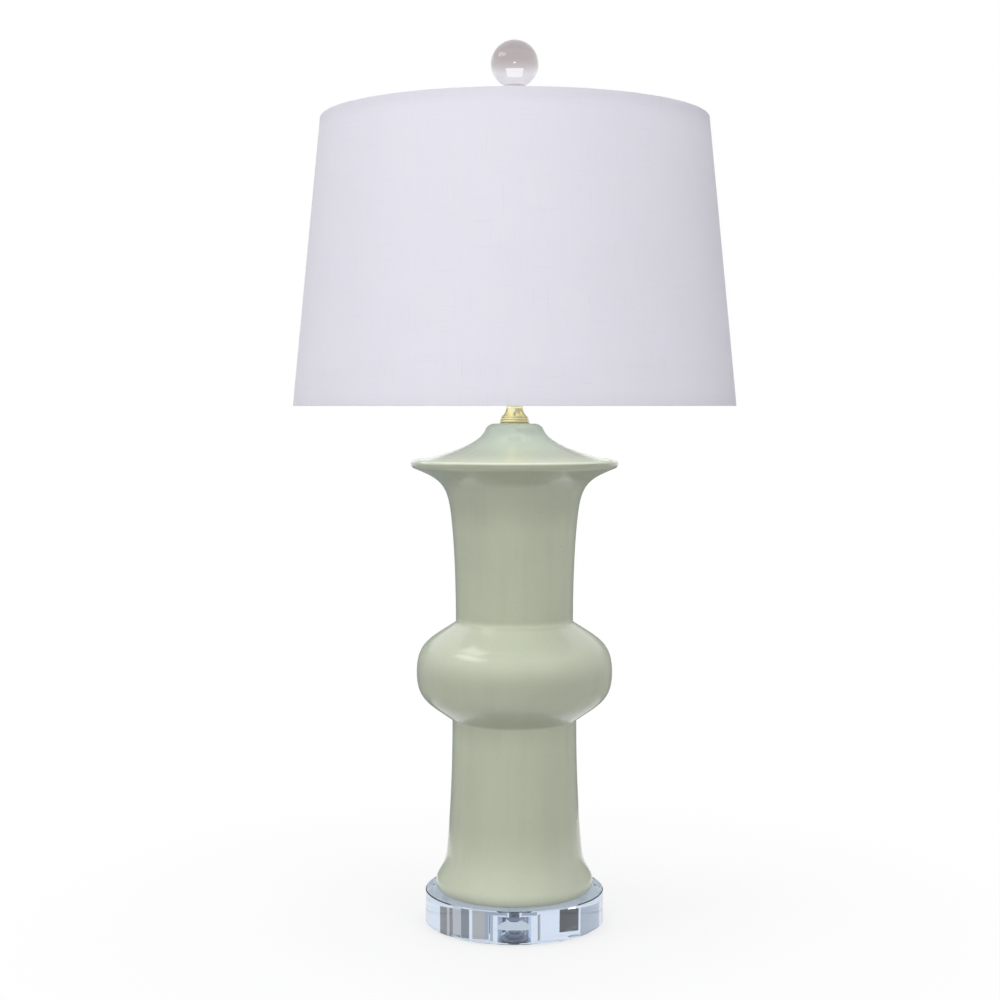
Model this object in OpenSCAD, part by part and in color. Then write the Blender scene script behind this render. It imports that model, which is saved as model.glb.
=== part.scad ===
// Porcelain table lamp: one-piece celadon body on a clear disc, drum shade on a harp, ball finial.
// Millimetres, +Z up, the lamp's axis on Z, the front towards -Y, the feet at z = 0.

/* [Clear disc] */
// Radius of the disc under the porcelain
disc_r = 83; // [78:0.5:110]
// Thickness of the disc
disc_h = 30; // [24:0.5:50]
// Radius of the counterbore under the disc
counterbore_r = 16; // [15:0.5:22]
// Depth of the counterbore
counterbore_h = 12; // [10:0.5:18]
// Radius of one bumper foot
pad_r = 6; // [4:0.5:8]
// Height of one bumper foot
pad_h = 1.5; // [1:0.1:4]
// Distance of the feet from the axis
pad_ring_r = 72; // [40:1:74]
// Number of feet
pad_count = 4; // [3:1:8]

/* [Porcelain body] */
// Wall of the casting
wall = 6; // [4:0.25:8]
// Widest radius of the foot
foot_r = 73.3; // [68:0.1:77]
// Height of the foot's rounded edge
foot_edge_h = 7.7; // [5:0.1:10]
// Width of the foot ring that stands on the disc
foot_ring_w = 9; // [6:0.5:12]
// Height of the hollow under the floor
foot_recess = 3; // [2:0.25:5]
// Radius above the foot's flare
ankle_r = 63.1; // [60:0.1:66]
// Height of that place above the disc
ankle_h = 35.7; // [30:0.1:45]
// Radius of the lower column where it meets the bulge
lower_r = 57.7; // [54:0.1:60]
// Height where the lower column meets the bulge
lower_join_h = 158.9; // [140:0.5:170]
// Radius of the bulge
bulge_r = 90.8; // [80:0.1:100]
// Height of the bulge's equator
bulge_h = 203.3; // [190:0.1:215]
// Radius of the upper column where it leaves the bulge
upper_r = 54.4; // [50:0.1:57]
// Height where the upper column leaves the bulge
upper_join_h = 249.7; // [240:0.1:260]
// Radius of the upper column where it starts to flare
throat_r = 59.3; // [57:0.1:64]
// Height of that place
throat_h = 353.2; // [330:0.5:365]
// Outer radius of the brim
brim_r = 96; // [88:0.1:110]
// Height of the brim's edge
brim_h = 396.4; // [390:0.1:400]
// Radius of the rolled bead round the brim
brim_bead_r = 4.25; // [3:0.05:5]
// Radius of the hat's crown
crown_r = 27; // [22:0.1:32]
// Height of the crown's flat top above the disc
crown_h = 433.5; // [428:0.5:445]
// Size of the rounding round the crown
crown_edge = 5.4; // [3:0.1:7]
// Radius of the hole in the floor for the centring bush
floor_hole_r = 9; // [7:0.25:14]
// Radius of the hole in the crown
crown_hole_r = 6; // [5.5:0.1:9]
// Height of the cord outlet above the disc
outlet_h = 44; // [38:0.5:70]
// Radius of the cord outlet's hole in the porcelain
outlet_hole_r = 6; // [5:0.25:9]
// Radius of the cord's passage in the outlet bush
outlet_bore_r = 3.6; // [2.5:0.1:4.2]

/* [Pipe and neck] */
// Outer radius of the threaded lamp pipe
pipe_r = 4.85; // [4.5:0.05:5.2]
// Bore radius of the pipe
pipe_bore_r = 3.2; // [2.5:0.1:3.8]
// Thickness of the steel washer under the disc
washer_t = 1.6; // [1:0.1:2.5]
// Radius of that washer
washer_r = 13; // [10:0.5:14]
// Thickness of the lock nut
nut_h = 4; // [3:0.25:6]
// Size of the lock nut across its flats
nut_flats = 14.3; // [13:0.1:17]
// Radius of the gasket on the crown
gasket_r = 13.9; // [12:0.1:18]
// Thickness of the gasket
gasket_h = 0.8; // [0.5:0.1:1.5]
// Radius of the brass check ring
ring_r = 13.6; // [12:0.1:18]
// Height of the check ring
ring_h = 3; // [2:0.1:5]
// Radius of the brass neck's foot
neck_foot_r = 12.3; // [11:0.1:15]
// Radius of the brass neck's waist
neck_waist_r = 7.5; // [7:0.1:9]
// Radius of the brass neck's top
neck_top_r = 10; // [9:0.1:14]
// Height of the brass neck
neck_h = 17.2; // [14:0.1:30]

/* [Harp] */
// Distance of the harp's legs from the axis
leg_x = 30; // [27:0.5:34]
// Radius of the harp's wire
wire_r = 1.8; // [1.4:0.1:2.2]
// Height from the neck to the rest that carries the shade
harp_h = 250.2; // [235:0.1:290]
// Outward lean of the harp's sides in degrees
harp_lean = 18; // [14:1:22]
// Inward lean at the shoulders in degrees
harp_tuck = 25; // [18:1:35]
// Bend radius above the legs
harp_bend_r = 40; // [25:1:60]
// Bend radius of the top corners
harp_corner_r = 28; // [20:1:34]
// Half width of the straight piece on top
harp_flat = 9; // [8:0.5:14]
// Thickness of the saddle's strip
saddle_t = 1.6; // [1.2:0.1:2.5]
// Width of the saddle's strip
saddle_w = 16; // [14:0.5:18]
// Height of the ears' shoulders over the neck
ear_h = 8; // [7:0.5:12]
// Width of the tabs on the ears
tab_w = 4.4; // [3:0.1:4.6]
// Length of one ferrule
ferrule_h = 13; // [10:0.5:18]
// Wall of one ferrule
ferrule_t = 0.9; // [0.6:0.1:1.2]
// Travel of a ferrule up its leg
ferrule_travel = 13; // [11:0.5:20]
// Radius of the threaded stud on the harp
stud_r = 3.1; // [2.8:0.05:3.4]
// Length of the stud above the rest
stud_h = 15; // [10:0.5:20]
// Radius of the rest that carries the shade
rest_r = 8; // [6.5:0.5:10]

/* [Socket] */
// Outer radius of the socket's shell
shell_r = 16.6; // [16.4:0.1:18]
// Wall of the shell and the cap
shell_t = 0.5; // [0.4:0.1:0.8]
// Height of the socket's cap
cap_h = 17; // [15:0.5:22]
// Length of the shell that shows above the cap
shell_h = 41; // [38:0.5:46]
// Inner radius of the screw shell
screw_shell_r = 13.35; // [13.2:0.05:13.5]
// Height of the moulded interior
interior_h = 19; // [17:0.5:22]
// Radius of the switch's shaft
switch_shaft_r = 1.6; // [1.2:0.1:2.2]
// Radius of the switch's knob
knob_r = 6.5; // [5:0.1:8]
// Length of the switch's knob
knob_h = 12; // [8:0.5:16]
// Grooves round the knob
knob_grooves = 12; // [8:1:16]

/* [Bulb] */
// Widest radius of the bulb's glass
bulb_r = 30; // [26:0.5:34]
// Length of the bulb from its contact to its top
bulb_h = 110; // [100:1:125]
// Radius of the bulb's screw base
bulb_base_r = 12.95; // [12.8:0.05:13]
// Length of the bulb's screw base
bulb_base_h = 25; // [22:0.5:27]
// Wall of the bulb's glass
bulb_t = 0.8; // [0.5:0.1:1.5]

/* [Shade] */
// Bottom radius of the shade
shade_bottom_r = 203.2; // [185:0.1:230]
// Top radius of the shade
shade_top_r = 177.4; // [160:0.1:190]
// Height of the shade
shade_h = 259.7; // [240:0.1:280]
// Height of the shade's top edge over the harp's rest
spider_drop = 5.2; // [3.5:0.1:12]
// Thickness of the linen
linen_t = 0.7; // [0.5:0.1:1]
// Thickness of the stiff liner behind it
liner_t = 0.8; // [0.5:0.1:1.2]
// Radius of the wire of the shade's frame
frame_wire_r = 1.5; // [1.2:0.1:2]
// Radius of the washer in the middle of the spider
spider_washer_r = 13; // [10:0.5:16]
// Thickness of that washer
spider_washer_t = 1.6; // [1.2:0.1:2.5]
// Arms of the spider
spider_arms = 3; // [3:1:4]

/* [Finial] */
// Radius of the clear ball
ball_r = 21.8; // [16:0.1:26]
// Height of the metal stem from the shade's washer to the ball's seat
stem_h = 36; // [32:0.5:45]
// Radius of the cup that holds the ball
cup_r = 9.8; // [8:0.1:13]

/* [Fits] */
// Radial gap of a shaft in its bearing
turn_gap = 0.08; // [0.05:0.01:0.1]
// Radial gap of a ferrule on its wire
slide_gap = 0.1; // [0.05:0.01:0.1]
// Radial gap of a piece that the pipe or a screw passes through
loose_gap = 0.15; // [0.1:0.01:0.25]
// Gap between round pieces that seat in each other
seat_gap = 0.02; // [0.01:0.01:0.05]

/* [Hidden] */
$fn = 96;
// A cut runs this far past the face that it opens
past = 1;

// Heights of the stack on the axis
disc_z = pad_h;
body_z = disc_z + disc_h;
crown_z = body_z + crown_h;
ring_z = crown_z + gasket_h;
neck_z = ring_z + ring_h;
saddle_z = neck_z + neck_h;
socket_z = saddle_z + saddle_t;
rest_z = saddle_z + harp_h;
washer_top_z = rest_z + spider_washer_t;
shade_top_z = rest_z + spider_drop;
shade_z = shade_top_z - shade_h;
ball_z = washer_top_z + stem_h + sqrt(ball_r * ball_r - cup_r * cup_r);

// The counterbore's ceiling, where the washer presses
clamp_z = disc_z + counterbore_h;
nut_z = clamp_z - washer_t - nut_h;
pipe_z = nut_z - 2;
pipe_hole_r = pipe_r + loose_gap;
// The pipe ends inside the hub of the socket's cap
hub_h = 7.5;
hub_r = pipe_r + 2;
set_screw_r = 1.5;
set_screw_h = 2.4;
pipe_top_z = socket_z + hub_h;

// The floor of the casting and the rear wall of its foot
floor_z = body_z + foot_recess;
outlet_z = body_z + outlet_h;

// Plane of the lamp's outlines: x is the radius, y is the height
up = [0, 1];
function along(angle) = [cos(angle), sin(angle)];
// A cubic curve from a to b; its handles leave a along u and reach b along v
function bend(a, u, v, b, n = 14) = [for (i = [0:n])
    let (t = i / n, s = 1 - t)
    s * s * s * a + 3 * s * s * t * (a + u) + 3 * s * t * t * (b - v) + t * t * t * b];
// The same, with handles in shares of the straight way from a to b
function sweep(a, u, v, b, n = 14) = bend(a, norm(b - a) * u, norm(b - a) * v, b, n);
function arc(centre, r, from, to, n = 8) = [for (i = [0:n])
    centre + r * along(from + (to - from) * i / n)];
// A list of points without those that repeat the one before
function joined(lists) = let (p = [for (l = lists) each l])
    [for (i = [0:len(p) - 1]) if (i == 0 || norm(p[i] - p[i - 1]) > 0.001) p[i]];

// Outline of the casting, from the disc up to the crown
foot_edge_w = 3.5;
foot_at = [foot_r, body_z + foot_edge_h];
ankle_at = [ankle_r, body_z + ankle_h];
lower_at = [lower_r, body_z + lower_join_h];
bulge_at = [bulge_r, body_z + bulge_h];
upper_at = [upper_r, body_z + upper_join_h];
throat_at = [throat_r, body_z + throat_h];
bead_at = [brim_r - brim_bead_r, body_z + brim_h];
crown_at = [crown_r, crown_z - crown_edge];
brim_slope = 22;
roof_slope = 13.6;
// The crown's side leans in, from upright
crown_lean = 19;
ankle_way = [-0.1, 1];
throat_way = [0.13, 1];
under_at = bead_at + brim_bead_r * along(brim_slope - 90);
// The roof starts in the groove behind the bead
groove_at = bead_at + [-2, 1.1] * brim_bead_r;
foot_edge = [for (a = [-90:11.25:0])
    [foot_r - foot_edge_w + foot_edge_w * cos(a), foot_at.y + foot_edge_h * sin(a)]];
foot_flare = sweep(foot_at, 0.2685 * up, 0.5537 * ankle_way, ankle_at);
lower_column = sweep(ankle_at, 0.2433 * ankle_way, 0.4055 * up, lower_at);
bulge_below = sweep(lower_at, 0.4948 * along(36.5), 0.4623 * up, bulge_at, 18);
bulge_above = sweep(bulge_at, 0.4612 * up, 0.4951 * along(180 - 33.7), upper_at, 18);
upper_column = sweep(upper_at, 0.2895 * up, 0.2895 * throat_way, throat_at);
brim_flare = sweep(throat_at, 0.4927 * throat_way, 0.4715 * along(brim_slope), under_at);
brim_bead = arc(bead_at, brim_bead_r, brim_slope - 90, 130, 14);
roof = sweep(groove_at, 0.3 * along(180 - roof_slope), 0.2366 * along(90 + crown_lean), crown_at, 18);
crown_edge_curve = bend(crown_at, 0.6 * crown_edge * along(90 + crown_lean),
    [-0.5 * crown_edge, 0], [crown_r - 1.5 * crown_edge, crown_z], 8);
casting = joined([foot_edge, foot_flare, lower_column, bulge_below, bulge_above, upper_column,
    brim_flare, brim_bead, roof, crown_edge_curve]);
foot_ring_r = foot_r - foot_edge_w - foot_ring_w;

// Radius of the casting at a height on its lower column or foot
function foot_wall_r(z) = let (p = joined([foot_flare, lower_column]))
    max([for (i = [0:len(p) - 2]) if (p[i].y <= z && z <= p[i + 1].y)
        p[i].x + (p[i + 1].x - p[i].x) * (z - p[i].y) / (p[i + 1].y - p[i].y)]);

// Harp: a leg, a bend outward, a straight, a long bend, a corner and the flat top
ear_z = saddle_z + ear_h;
ferrule_z = ear_z;
ferrule_in_r = wire_r + 1.6;
ferrule_out_r = ferrule_in_r + ferrule_t;
ferrule_roof = 1.5;
ferrule_top_z = ferrule_z + ferrule_h;
wire_foot_z = ear_z + 1;
tab_top_z = ferrule_top_z - ferrule_roof - 0.5;
leg_top_z = ferrule_top_z + ferrule_travel + 2;
// The rest's block stands this far over the wire
rest_t = 2.4;
wire_top_z = rest_z - rest_t - wire_r;
bend_end = [leg_x + harp_bend_r * (1 - cos(harp_lean)), leg_top_z + harp_bend_r * sin(harp_lean)];
corner_start_dx = harp_corner_r * cos(harp_tuck);
side_dx = harp_flat - bend_end.x + corner_start_dx;
side_dz = wire_top_z - bend_end.y - harp_corner_r * (1 - sin(harp_tuck));
side_det = 1 - cos(harp_lean + harp_tuck);
// Two lengths follow from the harp's height and width: the straight's and the long bend's radius
straight_l = (side_dx * (sin(harp_lean) + sin(harp_tuck))
    - side_dz * (cos(harp_tuck) - cos(harp_lean))) / side_det;
side_r = (side_dz * sin(harp_lean) - side_dx * cos(harp_lean)) / side_det;
straight_end = bend_end + straight_l * [sin(harp_lean), cos(harp_lean)];
side_centre = straight_end + side_r * [-cos(harp_lean), sin(harp_lean)];
corner_centre = [harp_flat, wire_top_z - harp_corner_r];
corner_start = corner_centre + harp_corner_r * [cos(harp_tuck), sin(harp_tuck)];
knuckle_gap = 0.02;

// Socket
cap_top_z = socket_z + cap_h;
cap_rim_r = shell_r + seat_gap + shell_t;
shell_in_r = shell_r - shell_t;
shell_lap = 4;
shell_z = cap_top_z - shell_lap;
shell_top_z = cap_top_z + shell_h;
liner_out_r = shell_in_r - seat_gap;
paper_t = 0.8;
liner_in_r = liner_out_r - paper_t;
interior_z = shell_z + 1;
interior_r = liner_in_r - seat_gap;
interior_top_z = interior_z + interior_h;
screw_t = 0.4;
screw_top_z = shell_top_z - 1.5;
contact_z = interior_top_z + 2;
switch_z = interior_z + 9;
terminal_z = interior_z + 5;
terminal_flat = interior_r - 2.4;
terminal_r = 3;
terminal_t = 1.4;

// Bulb
bulb_button_h = 1.4;
bulb_base_z = contact_z + bulb_button_h;
bulb_collar_z = contact_z + bulb_base_h;
bulb_top_z = contact_z + bulb_h;
bulb_neck_r = bulb_base_r - 0.8;
bulb_at = [bulb_r, bulb_top_z - bulb_r];

// Shade
shade_lean = atan((shade_bottom_r - shade_top_r) / shade_h);
function shade_r(z) = shade_top_r + (shade_bottom_r - shade_top_r) * (shade_top_z - z) / shade_h;
// The frame's rings lie inside the liner, half a wire and a gap from the edges
ring_inset = linen_t + liner_t + seat_gap;
top_ring_z = shade_top_z - frame_wire_r - 0.3;
bottom_ring_z = shade_z + frame_wire_r + 0.3;
function frame_r(z) = shade_r(z) - (ring_inset + frame_wire_r) / cos(shade_lean);
arm_z = rest_z + spider_washer_t / 2;
arm_start_r = spider_washer_r - 0.02;

// Finial
bore_r = stud_r + turn_gap;
stem_bore_h = stud_h - spider_washer_t + 1.5;

module turned(points) {
    rotate_extrude() polygon(points);
}

module tube(r_out, r_in, h) {
    difference() {
        cylinder(r = r_out, h = h);
        translate([0, 0, -past]) cylinder(r = r_in, h = h + 2 * past);
    }
}

module foot_pads() {
    color("whitesmoke", 0.6)
    for (i = [0:pad_count - 1])
        rotate([0, 0, 360 / pad_count * (i + 0.5)]) translate([pad_ring_r, 0, 0])
            turned([[0, 0], [pad_r - pad_h / 2, 0], [pad_r, pad_h], [0, pad_h]]);
}

module base_disc() {
    edge = 0.8;
    color("lightcyan", 0.4)
    difference() {
        translate([0, 0, disc_z])
            turned([[0, 0], [disc_r - edge, 0], [disc_r, edge], [disc_r, disc_h - edge],
                [disc_r - edge, disc_h], [0, disc_h]]);
        translate([0, 0, disc_z - past]) cylinder(r = counterbore_r, h = counterbore_h + past);
        translate([0, 0, disc_z - past]) cylinder(r = pipe_hole_r, h = disc_h + 2 * past);
    }
}

module bottom_washer() {
    color("silver")
    translate([0, 0, clamp_z - washer_t]) tube(washer_r, pipe_hole_r, washer_t);
}

module bottom_nut() {
    color("goldenrod")
    translate([0, 0, nut_z]) difference() {
        cylinder(r = nut_flats / 2 / cos(30), h = nut_h, $fn = 6);
        translate([0, 0, -past]) cylinder(r = pipe_r + seat_gap, h = nut_h + 2 * past);
    }
}

module lamp_pipe() {
    color("goldenrod")
    difference() {
        translate([0, 0, pipe_z]) tube(pipe_r, pipe_bore_r, pipe_top_z - pipe_z);
        // the cord enters the pipe inside the casting, across from its outlet
        translate([0, 0, outlet_z]) rotate([-90, 0, 0]) cylinder(r = pipe_bore_r, h = pipe_r + past);
    }
}

module centring_bush() {
    flange_r = floor_hole_r + 5;
    color("dimgray")
    translate([0, 0, body_z]) difference() {
        union() {
            cylinder(r = flange_r, h = foot_recess);
            cylinder(r = floor_hole_r - seat_gap, h = foot_recess + wall - 1);
        }
        translate([0, 0, -past]) cylinder(r = pipe_r + seat_gap, h = wall + foot_recess + 2 * past);
    }
}

// The casting's outline with its floor, the foot ring below it and the axis as its inner side
module casting_outline() {
    polygon(concat(
        [[0, floor_z], [foot_ring_r, floor_z], [foot_ring_r + foot_recess / 3, body_z]],
        casting,
        [[0, crown_z]]
    ));
}

// The hollow of the casting, one wall inside its outline
module casting_hollow() {
    intersection() {
        offset(delta = -wall) union() {
            casting_outline();
            mirror([1, 0]) casting_outline();
        }
        translate([0, body_z]) square([brim_r, crown_h]);
    }
}

module porcelain_body() {
    color([0.68, 0.70, 0.62])
    difference() {
        rotate_extrude() difference() {
            casting_outline();
            casting_hollow();
        }
        translate([0, 0, floor_z - past]) cylinder(r = floor_hole_r, h = wall + 2 * past);
        translate([0, 0, crown_z - wall - past]) cylinder(r = crown_hole_r, h = wall + 2 * past);
        translate([0, foot_wall_r(outlet_z) - 3 * wall, outlet_z]) rotate([-90, 0, 0])
            cylinder(r = outlet_hole_r, h = 6 * wall);
    }
}

// A rubber bush with a flange outside the wall and a lip inside it
module cord_outlet_bush() {
    wall_y = foot_wall_r(outlet_z);
    flange_t = 1.6;
    // the flange clears the sloping wall at its lowest edge
    flange_r = outlet_hole_r + 2;
    flange_y = foot_wall_r(outlet_z - flange_r) + seat_gap;
    neck_l = flange_y - wall_y + wall + 1;
    color("dimgray")
    translate([0, flange_y - neck_l, outlet_z]) rotate([-90, 0, 0]) difference() {
        union() {
            cylinder(r = outlet_hole_r - seat_gap, h = neck_l);
            translate([0, 0, neck_l]) cylinder(r1 = flange_r, r2 = flange_r - 1, h = flange_t);
        }
        translate([0, 0, -past]) cylinder(r = outlet_bore_r, h = neck_l + flange_t + 2 * past);
    }
}

module cap_gasket() {
    color("dimgray")
    translate([0, 0, crown_z]) tube(gasket_r, pipe_hole_r, gasket_h);
}

module check_ring() {
    color("gold")
    translate([0, 0, ring_z]) turned(joined([
        [[pipe_hole_r, 0], [ring_r - ring_h / 2, 0]],
        arc([ring_r - ring_h / 2, ring_h / 2], ring_h / 2, -90, 90, 10),
        [[pipe_hole_r, ring_h]]
    ]));
}

// Turned neck: a foot with a bead, a cone to the waist and a flare under the saddle
module brass_neck() {
    foot_h = 3.4;
    bead = 0.45;
    waist_h = 10.6;
    color("gold")
    translate([0, 0, neck_z]) turned(joined([
        [[pipe_hole_r, 0], [neck_foot_r - bead, 0]],
        arc([neck_foot_r - bead, foot_h * 0.3], foot_h * 0.3, -90, 90, 8),
        [[neck_foot_r - 2 * bead, foot_h * 0.62]],
        arc([neck_foot_r - 2 * bead, foot_h * 0.81], foot_h * 0.19, -90, 90, 6),
        bend([neck_foot_r - 3 * bead, foot_h], [-1.6, 1.7], [0, 2.6], [neck_waist_r, waist_h], 8),
        bend([neck_waist_r, waist_h], [0, 1.8], [0.4, 1.6], [neck_top_r, neck_h - 0.6], 6),
        [[neck_top_r, neck_h], [pipe_hole_r, neck_h]]
    ]));
}

// Bent strip under the socket, seen from the front, with an upright ear at each leg
module saddle_section() {
    flat_x = 14;
    ear_in_x = leg_x + 0.3;
    ear_out_x = ear_in_x + saddle_t;
    rise = ear_h - 4;
    slope = atan(rise / (ear_out_x - flat_x));
    low = saddle_t * tan(slope / 2);
    high = saddle_t * tan((90 - slope) / 2);
    right = [
        [flat_x, 0], [ear_out_x, rise], [ear_out_x, tab_top_z - saddle_z],
        [ear_in_x, tab_top_z - saddle_z], [ear_in_x, rise + high], [flat_x - low, saddle_t]
    ];
    polygon(concat(right, [for (i = [len(right) - 1:-1:0]) [-right[i].x, right[i].y]]));
}

module harp_saddle() {
    shoulder = ear_z - saddle_z;
    tab_h = tab_top_z - saddle_z;
    side = [
        [saddle_w / 2, -past], [saddle_w / 2, shoulder - 4], [ferrule_out_r - 0.5, shoulder - 1],
        [ferrule_out_r - 0.5, shoulder], [tab_w / 2, shoulder], [tab_w / 2, tab_h - 1],
        [tab_w / 2 - 0.8, tab_h + past]
    ];
    color("gold")
    translate([0, 0, saddle_z]) difference() {
        intersection() {
            rotate([90, 0, 0]) linear_extrude(saddle_w + 2 * past, center = true) saddle_section();
            rotate([90, 0, 90]) linear_extrude(3 * leg_x, center = true)
                polygon(concat(side, [for (i = [len(side) - 1:-1:0]) [-side[i].x, side[i].y]]));
        }
        translate([0, 0, -past]) cylinder(r = pipe_hole_r, h = saddle_t + 2 * past);
    }
}

// A stretch of bent wire; it stops a hair short of the knuckles at its ends
module wire_arc(centre, r, from, to) {
    short = knuckle_gap / r * 180 / PI;
    translate([centre.x, 0, centre.y]) rotate([90, 0, 0]) rotate([0, 0, from + short])
        rotate_extrude(angle = to - from - 2 * short) translate([r, 0]) circle(r = wire_r);
}

// A stretch of straight wire that leaves a place at a lean from upright
module wire_straight(at, lean, l) {
    translate([at.x, 0, at.y]) rotate([0, lean, 0]) translate([0, 0, knuckle_gap])
        cylinder(r = wire_r, h = l - 2 * knuckle_gap);
}

// The ball that joins two stretches of wire
module knuckle(at) {
    translate([at.x, 0, at.y]) sphere(r = wire_r + knuckle_gap);
}

module harp_side() {
    difference() {
        wire_straight([leg_x, wire_foot_z], 0, leg_top_z - wire_foot_z);
        // the foot of the wire is flattened against the ear's tab
        translate([leg_x + 0.1, -wire_r - past, wire_foot_z - past])
            cube([wire_r + past, 2 * (wire_r + past), tab_top_z - wire_foot_z + past]);
    }
    wire_arc([leg_x + harp_bend_r, leg_top_z], harp_bend_r, 180 - harp_lean, 180);
    wire_straight(bend_end, harp_lean, straight_l);
    wire_arc(side_centre, side_r, -harp_lean, harp_tuck);
    wire_arc(corner_centre, harp_corner_r, harp_tuck, 90);
    for (at = [[leg_x, leg_top_z], bend_end, straight_end, corner_start, [harp_flat, wire_top_z]])
        knuckle(at);
}

module harp_loop() {
    color("gold") {
        harp_side();
        mirror([1, 0, 0]) harp_side();
        wire_straight([-harp_flat, wire_top_z], 90, 2 * harp_flat);
    }
}

// Block on the wire with the flange that carries the shade and the stud for the finial
module harp_rest() {
    block_r = wire_r + 2.8;
    block_z = wire_top_z - wire_r - 1.6;
    color("gold")
    difference() {
        union() {
            translate([0, 0, block_z]) cylinder(r = block_r, h = rest_z - block_z - 1.2);
            translate([0, 0, rest_z - 1.2]) cylinder(r = rest_r, h = 1.2);
            translate([0, 0, rest_z - 0.5]) cylinder(r = stud_r, h = stud_h + 0.5);
        }
        translate([-rest_r - past, 0, wire_top_z]) rotate([0, 90, 0])
            cylinder(r = wire_r + seat_gap, h = 2 * (rest_r + past));
    }
}

module ferrule(side) {
    color("gold")
    translate([side * leg_x, 0, ferrule_z]) difference() {
        turned(joined([
            [[0, 0], [ferrule_out_r, 0], [ferrule_out_r, ferrule_h - 1.2]],
            arc([ferrule_out_r - 1.2, ferrule_h - 1.2], 1.2, 0, 90, 6),
            [[0, ferrule_h]]
        ]));
        translate([0, 0, -past]) cylinder(r = ferrule_in_r, h = ferrule_h - ferrule_roof + past);
        translate([0, 0, -past]) cylinder(r = wire_r + slide_gap, h = ferrule_h + 2 * past);
    }
}

module ferrule_left() {
    ferrule(-1);
}

module ferrule_right() {
    ferrule(1);
}

// Spun cap: a threaded hub on the pipe and a bowl that takes the shell
module socket_cap() {
    bowl_z = 4.5;
    bowl = bend([hub_r, bowl_z], [0, 1.5], [0, 5.5], [cap_rim_r, cap_h - shell_lap - 1], 10);
    color("gold")
    translate([0, 0, socket_z]) difference() {
        turned(joined([
            [[pipe_hole_r, 0], [hub_r - 0.5, 0], [hub_r, 0.5]],
            bowl,
            [[cap_rim_r, cap_h], [cap_rim_r - shell_t, cap_h]],
            [for (i = [len(bowl) - 1:-1:0]) if (bowl[i].x > hub_r + 2 * shell_t)
                bowl[i] + [-shell_t, shell_t]],
            [[hub_r, hub_h], [pipe_hole_r, hub_h]]
        ]));
        translate([0, 0, set_screw_h]) rotate([-90, 0, 0])
            cylinder(r = set_screw_r + seat_gap, h = hub_r + past);
    }
}

module socket_set_screw() {
    screw_l = hub_r - pipe_r + 1.8;
    color("silver")
    translate([0, pipe_r + seat_gap, socket_z + set_screw_h]) rotate([-90, 0, 0]) difference() {
        cylinder(r = set_screw_r, h = screw_l);
        translate([-2, -0.35, screw_l - 0.8]) cube([4, 0.7, 2]);
    }
}

module switch_hole(r, from_y) {
    translate([0, -from_y, switch_z]) rotate([90, 0, 0]) cylinder(r = r, h = shell_r);
}

module socket_shell() {
    bead = 0.9;
    color("gold")
    difference() {
        translate([0, 0, shell_z]) turned(joined([
            [[shell_in_r, 0], [shell_r, 0], [shell_r, shell_top_z - shell_z - 2 * bead]],
            arc([shell_r, shell_top_z - shell_z - bead], bead, -60, 90, 8),
            [[shell_in_r, shell_top_z - shell_z]]
        ]));
        switch_hole(switch_shaft_r + 1.2, shell_r / 2);
    }
}

module socket_liner() {
    color("burlywood")
    difference() {
        translate([0, 0, shell_z]) tube(liner_out_r, liner_in_r, shell_top_z - shell_z - 0.5);
        switch_hole(switch_shaft_r + 0.8, shell_r / 2);
    }
}

// Moulded interior with two flats for the terminals and the bearing of the switch
module socket_interior() {
    color("saddlebrown")
    difference() {
        translate([0, 0, interior_z]) cylinder(r = interior_r, h = interior_h);
        for (side = [-1, 1])
            translate([side * (terminal_flat + interior_r / 2), 0, interior_z + 3])
                cube([interior_r, 14, 14], center = true);
        switch_hole(switch_shaft_r + turn_gap, 2);
    }
}

module terminal_screws() {
    color("silver")
    for (side = [0, 180])
        rotate([0, 0, side]) translate([terminal_flat, 0, terminal_z]) rotate([0, 90, 0]) difference() {
            cylinder(r = terminal_r, h = terminal_t);
            translate([-terminal_r - past, -0.4, terminal_t - 0.6])
                cube([2 * (terminal_r + past), 0.8, 1]);
        }
}

module screw_shell() {
    color("silver")
    translate([0, 0, interior_top_z]) turned([
        [7, 0], [screw_shell_r + screw_t, 0], [screw_shell_r + screw_t, screw_top_z - interior_top_z],
        [screw_shell_r, screw_top_z - interior_top_z], [screw_shell_r, screw_t], [7, screw_t]
    ]);
}

// Sprung tongue in the floor of the screw shell
module centre_contact() {
    t = 0.5;
    lift = contact_z - interior_top_z;
    color("gold")
    translate([0, 2.5, interior_top_z]) rotate([90, 0, 0]) linear_extrude(5) polygon([
        [-6, 0], [-2.5, 0], [-1, lift - t], [3, lift - t], [3, lift], [-1.4, lift], [-3, t], [-6, t]
    ]);
}

// Shaft and fluted knob that turn about an axis to the front
module switch_knob() {
    knob_y = cap_rim_r + 1.2;
    shaft_y = 4;
    color("black")
    translate([0, -shaft_y, switch_z]) rotate([90, 0, 0]) {
        cylinder(r = switch_shaft_r, h = knob_y - shaft_y + 1);
        translate([0, 0, knob_y - shaft_y]) difference() {
            turned([[0, 0], [knob_r - 1.5, 0], [knob_r, 2], [knob_r, knob_h - 1], [knob_r - 1, knob_h],
                [0, knob_h]]);
            for (i = [0:knob_grooves - 1])
                rotate([0, 0, 360 / knob_grooves * i]) translate([knob_r + 0.6, 0, 1.5])
                    cylinder(r = 1.1, h = knob_h);
        }
    }
}

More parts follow.
